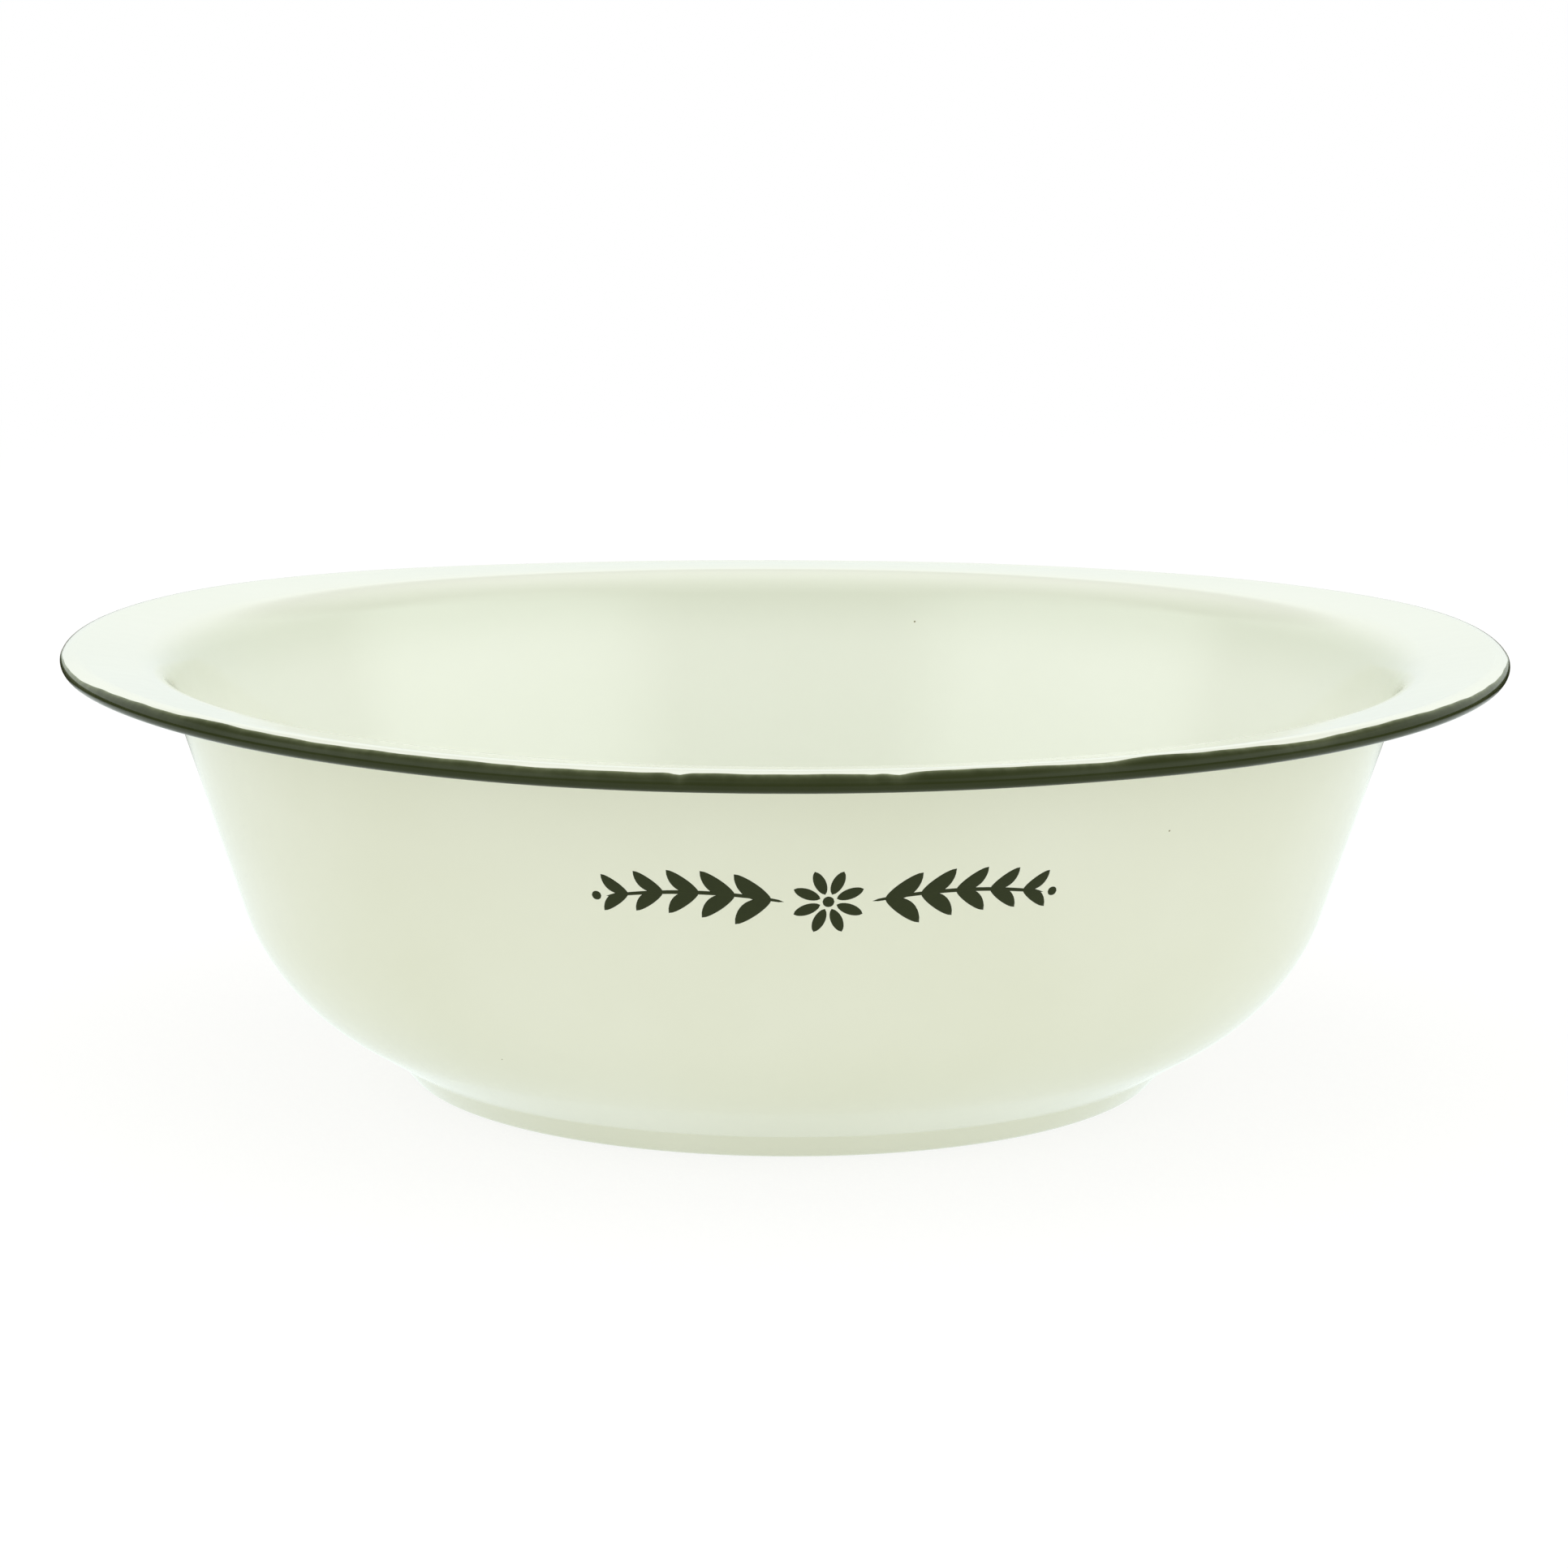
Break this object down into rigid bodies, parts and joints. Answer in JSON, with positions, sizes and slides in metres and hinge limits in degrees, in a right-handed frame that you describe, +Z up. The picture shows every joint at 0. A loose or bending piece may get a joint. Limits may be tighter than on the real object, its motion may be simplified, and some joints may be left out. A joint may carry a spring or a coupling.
{
  "type": "enamelled wash basin",
  "caption": "Round enamelled steel wash basin with a wide flange, a dark rolled rim, a tapered wall and a stepped foot, for holding water.",
  "frame": {"origin": "middle of the foot, on the surface that the basin stands on", "axes": "+Z up along the axis of the bowl; the bowl is round, so X and Y are free"},
  "size_m": [0.3998, 0.3998, 0.1221],
  "materials": {
    "sheet_steel": "pickled deep-drawing sheet, covered by the coats",
    "cream_enamel_outside": "glossy fired vitreous enamel, pale cream green",
    "cream_enamel_inside": "glossy fired vitreous enamel, pale cream",
    "green_enamel": "glossy fired vitreous enamel, dark green, brushed on"
  },
  "bodies": {
    "root": {"steel_bowl": "sheet_steel", "outer_enamel": "cream_enamel_outside", "inner_enamel": "cream_enamel_inside", "rim_enamel": "green_enamel"}
  },
  "joints": []
}
